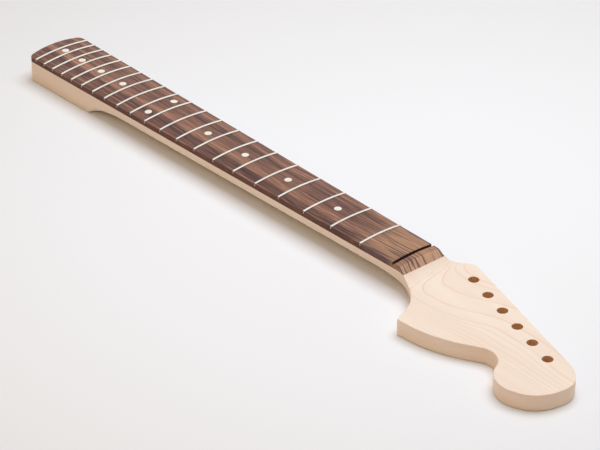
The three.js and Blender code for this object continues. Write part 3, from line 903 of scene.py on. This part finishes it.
def make_fibres():
    """Streaks that run along the neck, with their own length and width in millimetres."""
    tree, given, result = new_group("wood fibres", [
        ("Place", "Vector", None), ("Length", "Float", 20.0), ("Width", "Float", 1.0),
        ("Depth", "Float", 1.0), ("Seed", "Float", 0.0), ("Detail", "Float", 3.0),
    ], [("Streaks", "Float")])
    parts = parts_of(tree, given["Place"])
    stretched = put(tree, "CombineXYZ", {
        "X": calc(tree, "ADD", calc(tree, "DIVIDE", parts["X"], given["Length"]), given["Seed"]),
        "Y": calc(tree, "DIVIDE", parts["Y"], given["Width"]),
        "Z": calc(tree, "DIVIDE", parts["Z"], given["Depth"]),
    })
    wire(tree, noise(tree, stretched.outputs[0], given["Detail"], 0.55), result["Streaks"])
    return tree


def make_growth_rings():
    """Maple's growth rings: they follow the length of the neck, rise across the headstock,
    and are cut through where the hollow by the nut goes down into the wood."""
    tree, given, result = new_group("growth rings", [
        ("Place", "Vector", None), ("Normal", "Vector", None),
        ("Line Width", "Float", 0.8), ("Wander", "Float", 2.4),
    ], [("Lines", "Float"), ("Tone", "Float")])
    parts = parts_of(tree, given["Place"])
    along = calc(tree, "SUBTRACT", parts["X"], NUT_X)
    rise = ranged(tree, along, 50, 115, 0, 20)
    fall = ranged(tree, along, 140, 205, 0, 6)
    follows = ranged(tree, parts["Y"], -50, -5, 0.1, 1)
    lift = times(tree, calc(tree, "SUBTRACT", rise, fall), follows)
    slow = put(tree, "VectorMath", {0: given["Place"], 1: (1 / 60, 1 / 16, 1 / 10)},
               operation="MULTIPLY")
    wander = swing(tree, noise(tree, slow.outputs[0], 2.0, 0.45), given["Wander"])
    level = calc(tree, "ADD", calc(tree, "SUBTRACT", parts["Y"], lift), wander)
    # Ring numbers across the width: few wide rings in the middle, many fine ones beside them
    low, high, first, last = -75, 60, -2, 19
    count = last - first
    ring_at = [(low, last), (-36, 5), (-33, 4), (-22, 3), (-2, 2), (17, 1), (24, 0), (high, first)]
    to_share = lambda y: (y - low) / (high - low)
    share = ranged(tree, level, low, high, 0, 1, "LINEAR")
    across = curved(tree, share, [(to_share(y), (ring - first) / count) for y, ring in ring_at])
    across = calc(tree, "ADD", times(tree, across, count), first)
    steep = [(low, 0.36), (-36, 0.34), (-30, 0.1), (-20, 0.055), (8, 0.06), (19, 0.14),
             (26, 0.07), (high, 0.06)]
    slope = curved(tree, share, [(to_share(y), value) for y, value in steep])
    depth = calc(tree, "DIVIDE", calc(tree, "SUBTRACT", parts["Z"], HEAD_THICKNESS), 1.2)
    reach = ranged(tree, along, 10, 42, 32, 0, "LINEAR")
    near_nut = times(tree, times(tree, reach, reach), 0.003)
    number = calc(tree, "ADD", calc(tree, "ADD", across, depth), near_nut)
    facing = calc(tree, "ABSOLUTE", parts_of(tree, given["Normal"])["Z"])
    level_part = times(tree, facing, facing)
    upright = calc(tree, "SQRT", calc(tree, "SUBTRACT", 1, level_part, clamp=True))
    crowding = calc(tree, "ADD", slope, times(tree, upright, 0.83))
    part = calc(tree, "FRACT", number)
    from_middle = calc(tree, "ABSOLUTE", calc(tree, "SUBTRACT", part, 0.5))
    off_line = calc(tree, "SUBTRACT", 0.5, from_middle)
    distance = calc(tree, "DIVIDE", off_line, calc(tree, "POWER", crowding, 0.75))
    in_widths = calc(tree, "DIVIDE", distance, given["Line Width"])
    line = calc(tree, "SUBTRACT", 1, ranged(tree, in_widths, 0, 0.5))
    # Some rings are darker than others, and each comes and goes along the neck
    nearest = calc(tree, "FLOOR", calc(tree, "ADD", number, 0.5))
    own = put(tree, "CombineXYZ", {"X": times(tree, along, 0.02), "Y": times(tree, nearest, 7.3)})
    strength = ranged(tree, noise(tree, own.outputs[0], 1.0), 0.3, 0.65, 0.3, 1)
    wide_rings = ranged(tree, crowding, 0.08, 0.36, 1, 0.34)
    strength = times(tree, strength, wide_rings)
    wire(tree, times(tree, line, strength), result["Lines"])
    wire(tree, calc(tree, "POWER", part, 3), result["Tone"])
    return tree


def make_handling():
    """Fine scratches and rubbed patches, for metal and plastic."""
    tree, given, result = new_group("rubbed marks", [
        ("Place", "Vector", None), ("Patch Size", "Float", 3.0), ("Scratch Width", "Float", 0.06),
    ], [("Patches", "Float"), ("Scratches", "Float")])
    zoom = calc(tree, "DIVIDE", 1, given["Patch Size"])
    patch_place = put(tree, "VectorMath", {0: given["Place"], "Scale": zoom}, operation="SCALE")
    parts = parts_of(tree, given["Place"])
    fine = put(tree, "CombineXYZ", {
        "X": calc(tree, "DIVIDE", parts["X"], given["Scratch Width"]),
        "Y": calc(tree, "DIVIDE", parts["Y"], 4.0),
        "Z": calc(tree, "DIVIDE", parts["Z"], given["Scratch Width"]),
    })
    wire(tree, noise(tree, patch_place.outputs[0], 4.0), result["Patches"])
    wire(tree, noise(tree, fine.outputs[0], 2.0), result["Scratches"])
    return tree


# Finishes

def make_maple(fibres, growth_rings):
    finish, tree, shader, place, normal = new_finish("satin maple", Coat_Roughness=0.35)
    shader.inputs["Coat Weight"].default_value = 0.12
    rings = use_group(tree, growth_rings, Place=place, Normal=normal, Line_Width=1.05)
    broad = streaks_of(tree, fibres, place, 120.0, 14.0, 8.0, 3.1)
    fine = streaks_of(tree, fibres, place, 14.0, 0.55, 0.55, 7.7)
    pores = streaks_of(tree, fibres, place, 2.2, 0.22, 0.22, 1.9)
    colour = tinted(tree, ranged(tree, broad, 0.3, 0.7), paint(248, 235, 220),
                    paint(244, 227, 211))
    colour = tinted(tree, times(tree, rings["Tone"], 0.45), colour, paint(243, 214, 196))
    colour = tinted(tree, rings["Lines"], colour, paint(237, 201, 180))
    colour = tinted(tree, ranged(tree, fine, 0.52, 0.8, 0, 0.4), colour, paint(232, 206, 182))
    colour = tinted(tree, ranged(tree, pores, 0.66, 0.8, 0, 0.5), colour, paint(214, 180, 152))
    # The upright sides are painted warmer and a little darker: painted light, for the warm light
    # that falls on them
    facing = calc(tree, "ABSOLUTE", parts_of(tree, normal)["Z"])
    colour = tinted(tree, ranged(tree, facing, 0.7, 0.2), colour, (0.99, 0.94, 0.87, 1), "MULTIPLY")
    roughness = ranged(tree, fine, 0.3, 0.7, 0.42, 0.54, "LINEAR")
    shaded(tree, shader, colour, roughness, fine, 0.02, 0.5)
    return finish


def make_drilled_maple(fibres):
    """The walls of the holes: rough end grain, browner than the face."""
    finish, tree, shader, place, _ = new_finish("drilled maple")
    rough = streaks_of(tree, fibres, place, 0.5, 0.5, 3.0, 4.4)
    turns = streaks_of(tree, fibres, place, 9.0, 9.0, 0.35, 9.1)
    colour = tinted(tree, ranged(tree, rough, 0.3, 0.7), paint(240, 200, 156),
                    paint(216, 168, 122))
    colour = tinted(tree, ranged(tree, turns, 0.5, 0.75, 0, 0.5), colour, paint(184, 132, 90))
    roughness = ranged(tree, rough, 0.3, 0.7, 0.65, 0.85, "LINEAR")
    shaded(tree, shader, colour, roughness, turns, 0.05, 0.6)
    return finish


def make_rosewood(fibres):
    finish, tree, shader, place, normal = new_finish("oiled rosewood", Specular_IOR_Level=0.25)
    parts = parts_of(tree, place)
    # The grain drifts towards the treble side by the third fret and back by the heel
    from_heel = ranged(tree, parts["X"], fret_x(FRET_COUNT), NUT_X, 0, 1, "LINEAR")
    drift = curved(tree, from_heel, [(0, 0.45), (0.25, 0.48), (0.5, 0.66), (0.72, 0.98),
                                     (0.85, 0.85), (1, 0.6)])
    slow = streaks_of(tree, fibres, place, 95.0, 20.0, 20.0, 2.6, 1.0)
    bent = calc(tree, "ADD", parts["Y"], swing(tree, drift, 11))
    bent = calc(tree, "ADD", bent, swing(tree, slow, 7))
    grain = put(tree, "CombineXYZ", {"X": parts["X"], "Y": bent, "Z": parts["Z"]}).outputs[0]
    band_share = ranged(tree, bent, -30, 30, 0, 1, "LINEAR")
    bands = curved(tree, band_share, [
        (0, 0.4), (0.2, 0.44), (0.25, 0.26), (0.31, 0.4), (0.4, 0.78), (0.46, 0.58),
        (0.55, 0.5), (0.68, 0.48), (0.77, 0.4), (0.84, 0.66), (0.9, 0.64), (0.925, 0.5),
        (0.95, 0.62), (1, 0.62)])
    tone = times(tree, bands, 0.85)
    # Streaks of three sizes, each with its length, width, seed and share in the tone. They run
    # through the whole thickness, and the last and finest also shapes the surface.
    through = 40.0
    sizes = ((90.0, 1.5, 0.7, 0.6), (46.0, 0.6, 5.2, 1.6), (19.0, 0.36, 8.8, 1.2))
    for length, width, seed, weight in sizes:
        finest = streaks_of(tree, fibres, grain, length, width, through, seed)
        tone = calc(tree, "ADD", tone, swing(tree, finest, weight))
    ramp = put(tree, "ValToRGB", {"Fac": tone})
    stops = ramp.color_ramp.elements
    stops[0].position, stops[0].color = 0.02, paint(62, 39, 38)
    stops[1].position, stops[1].color = 0.92, paint(191, 147, 119)
    stops.new(0.22).color = paint(91, 65, 60)
    stops.new(0.42).color = paint(123, 89, 78)
    stops.new(0.64).color = paint(155, 113, 94)
    veins = streaks_of(tree, fibres, grain, 26.0, 0.5, through, 2.2, 2.0)
    pores = streaks_of(tree, fibres, grain, 3.5, 0.14, 0.2, 6.3)
    # By the nut the wood turns golden, with a few dark veins
    by_nut = ranged(tree, parts["X"], fret_x(1) - 16, fret_x(1) + 12)
    colour = tinted(tree, times(tree, by_nut, 0.45), ramp.outputs[0], paint(212, 168, 130))
    on_ramp = ranged(tree, parts["X"], LIP_END_X - 0.8, LIP_END_X + 0.8)
    colour = tinted(tree, times(tree, on_ramp, 0.5), colour, paint(236, 198, 172))
    stripes = streaks_of(tree, fibres, grain, 70.0, 2.1, through, 4.1, 1.0)
    stripes = times(tree, ranged(tree, stripes, 0.52, 0.6), by_nut)
    stripes = times(tree, stripes, ranged(tree, on_ramp, 0, 1, 0.85, 0.78))
    colour = tinted(tree, stripes, colour, paint(94, 70, 74))
    colour = tinted(tree, ranged(tree, veins, 0.55, 0.68, 0, 0.7), colour, paint(70, 46, 46))
    colour = tinted(tree, ranged(tree, pores, 0.6, 0.76, 0, 0.6), colour, paint(50, 31, 28))
    # Away from the nut, the board's upright sides are painted darker and redder: painted shade
    facing = parts_of(tree, normal)
    upright = calc(tree, "ABSOLUTE", facing["Z"])
    away_from_nut = calc(tree, "SUBTRACT", 1, times(tree, by_nut, 0.7))
    painted_side_shade = times(tree, ranged(tree, upright, 0.6, 0.2, 0, 0.8), away_from_nut)
    colour = tinted(tree, painted_side_shade, colour, paint(94, 54, 38))
    # Faces across the grain, in the nut slot and at the heel, are much darker: end grain soaks up
    # more oil, and in the nut slot this is also painted shade
    end_grain_and_slot_shade = ranged(tree, calc(tree, "ABSOLUTE", facing["X"]), 0.85, 0.97, 0, 0.85)
    colour = tinted(tree, end_grain_and_slot_shade, colour, paint(56, 26, 16))
    roughness = ranged(tree, finest, 0.3, 0.7, 0.44, 0.62, "LINEAR")
    height = calc(tree, "SUBTRACT", finest, ranged(tree, pores, 0.55, 0.75, 0, 1.4))
    shaded(tree, shader, colour, roughness, height, 0.03, 0.6)
    return finish


def make_metal(name, marks, light, dark, polish, dullness, with_foot_shadow_and_dirt=False):
    finish, tree, shader, place, _ = new_finish(name, Metallic=1.0)
    rubbed = use_group(tree, marks, Place=place)
    colour = tinted(tree, ranged(tree, rubbed["Patches"], 0.35, 0.7), light, dark)
    if with_foot_shadow_and_dirt:
        # Low down, where the fretwire sits on the curved board, it is painted dark brown: painted
        # contact shadow and dark reflection of the board, with some dirt
        centre = (0, 0, CROWN_Z - BOARD_RADIUS)
        spoke = put(tree, "VectorMath", {0: place, 1: centre}, operation="SUBTRACT")
        spoke = put(tree, "VectorMath", {0: spoke.outputs[0], 1: (0, 1, 1)}, operation="MULTIPLY")
        reach = put(tree, "VectorMath", {0: spoke.outputs[0]}, operation="LENGTH").outputs["Value"]
        above = calc(tree, "SUBTRACT", reach, BOARD_RADIUS)
        foot_shadow_and_dirt = times(tree, ranged(tree, above, 0.55, 0.25), ranged(tree, above, -0.2, 0.0))
        colour = tinted(tree, times(tree, foot_shadow_and_dirt, 0.9), colour, paint(88, 58, 44))
    worn = ranged(tree, rubbed["Patches"], 0.3, 0.7, polish, dullness, "LINEAR")
    scratched = ranged(tree, rubbed["Scratches"], 0.5, 0.8, 0, 0.1)
    roughness = calc(tree, "ADD", worn, scratched)
    shaded(tree, shader, colour, roughness, rubbed["Scratches"], 0.004, 0.5)
    return finish


def make_ivory(marks, fibres):
    finish, tree, shader, place, _ = new_finish("ivory plastic")
    rubbed = use_group(tree, marks, Place=place, Patch_Size=1.6)
    cloudy = streaks_of(tree, fibres, place, 2.4, 1.4, 2.0, 3.3)
    scratched = ranged(tree, rubbed["Scratches"], 0.6, 0.8, 0, 0.3)
    colour = tinted(tree, ranged(tree, cloudy, 0.3, 0.7), paint(244, 243, 235),
                    paint(234, 232, 219))
    colour = tinted(tree, scratched, colour, paint(214, 206, 184))
    roughness = ranged(tree, rubbed["Patches"], 0.3, 0.7, 0.3, 0.45, "LINEAR")
    shaded(tree, shader, colour, roughness, rubbed["Scratches"], 0.004, 0.4)
    return finish


# Stage, light, camera

BACKDROP = paint(244, 243, 241)


def seen_rays(tree):
    """One for what the camera sees, straight or in a shiny or clear surface."""
    path = tree.nodes.new("ShaderNodeLightPath")
    seen = calc(tree, "MAXIMUM", path.outputs["Is Camera Ray"], path.outputs["Is Transmission Ray"])
    return calc(tree, "MAXIMUM", seen, path.outputs["Is Glossy Ray"])


def make_floor():
    """A pale floor just under the neck, slightly darker further away from its middle."""
    reach, gap, middle = 3000, 0.06, (360, -20, 0)
    corners = [(x, y, -gap) for x, y in rectangle(-reach, reach, -reach, reach)]
    floor = make_piece("floor", corners, [(0, 1, 2, 3)])
    finish, tree, shader, place, _ = new_finish("pale floor", Roughness=0.9,
                                                Specular_IOR_Level=0.1)
    offset = put(tree, "VectorMath", {0: place, 1: middle}, operation="DISTANCE")
    offset = offset.outputs["Value"]
    colour = tinted(tree, ranged(tree, offset, 100, 750), paint(244, 247, 251),
                    paint(229, 230, 231))
    wire(tree, colour, shader.inputs["Base Color"])
    # Far from the neck the floor turns into the backdrop
    backdrop = put(tree, "Emission", {"Color": BACKDROP, "Strength": 1.0})
    away = times(tree, ranged(tree, offset, 800, 1600), seen_rays(tree))
    mix = put(tree, "MixShader", {"Fac": away, 1: shader.outputs[0], 2: backdrop.outputs[0]})
    wire(tree, mix.outputs[0], tree.nodes["Material Output"].inputs["Surface"])
    floor.data.materials.append(finish)


def make_light():
    lamps = [
        ("overhead softbox", (0.3, 0.47, 1.7), (0.3, 0.0, 0.0), 1.4, 23.4, (0.972, 1.002, 1.06)),
        ("front softbox", (0.2, -1.7, 1.3), (0.3, 0.0, 0.0), 1.4, 4.6, (1.0, 0.575, 0.1)),
    ]
    for name, place, target, size, power, colour in lamps:
        data = bpy.data.lights.new(name, "AREA")
        data.shape = "SQUARE"
        data.size = size
        data.energy = power
        data.color = colour
        lamp = linked(name, data)
        lamp.location = place
        lamp.rotation_euler = (Vector(target) - Vector(place)).to_track_quat("-Z", "Y").to_euler()
        lamp.visible_glossy = False
    world = bpy.data.worlds.new("studio")
    bpy.context.scene.world = world
    world.use_nodes = True
    tree = world.node_tree
    room = tree.nodes["Background"]
    room.inputs["Strength"].default_value = 0.4
    # The room is warmer and dimmer low down, where it lights the neck's sides and the shadows
    direction = tree.nodes.new("ShaderNodeTexCoord").outputs["Generated"]
    height = ranged(tree, parts_of(tree, direction)["Z"], 0.1, 0.85)
    colour = tinted(tree, height, (0.72, 0.37, 0.04, 1), (1.0, 1.0, 1.0, 1))
    wire(tree, colour, room.inputs["Color"])
    backdrop = put(tree, "Background", {"Color": BACKDROP, "Strength": 1.0})
    mix = put(tree, "MixShader", {"Fac": seen_rays(tree), 1: room.outputs[0],
                                  2: backdrop.outputs[0]})
    wire(tree, mix.outputs[0], tree.nodes["World Output"].inputs["Surface"])


def make_camera():
    data = bpy.data.cameras.new("camera")
    data.sensor_fit = "HORIZONTAL"
    data.sensor_width = 36
    data.lens = 173.761
    data.clip_end = 20
    camera = linked("camera", data)
    camera.location = (1.827616, -1.360867, 1.222532)
    camera.rotation_mode = "QUATERNION"
    camera.rotation_quaternion = Quaternion((0.792228, 0.449826, 0.1997707, 0.3607259))
    bpy.context.scene.camera = camera


# The neck

make_camera()
make_light()
make_floor()

fibres = make_fibres()
growth_rings = make_growth_rings()
marks = make_handling()
maple = make_maple(fibres, growth_rings)
drilled = make_drilled_maple(fibres)
rosewood = make_rosewood(fibres)
nickel_silver = make_metal("nickel silver", marks, paint(254, 251, 246), paint(240, 236, 229),
                           0.2, 0.3, with_foot_shadow_and_dirt=True)
steel = make_metal("blued steel", marks, paint(150, 150, 152), paint(120, 120, 124), 0.3, 0.45)
ivory = make_ivory(marks, fibres)

outline = neck_outline()
make_neck(outline, maple, drilled)
make_board(outline, rosewood)
for number in range(1, FRET_COUNT + 1):
    make_fret(number, nickel_silver)
for label, x, y in dot_places(DOT_PAIR_SPACING, 0):
    make_dot(label, x, y, ivory)
for label, x, _ in dot_places(0, SIDE_DOT_PAIR_SPACING):
    make_side_dot(label, x, ivory)
make_adjuster(steel)
hidden = {"truss_rod": steel, "truss_rod_anchor": steel, "truss_rod_washer": steel,
          "truss_rod_filler": maple}
for name, finish in hidden.items():
    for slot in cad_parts[name].material_slots:
        slot.material = finish

bpy.context.scene.view_settings.view_transform = "Standard"
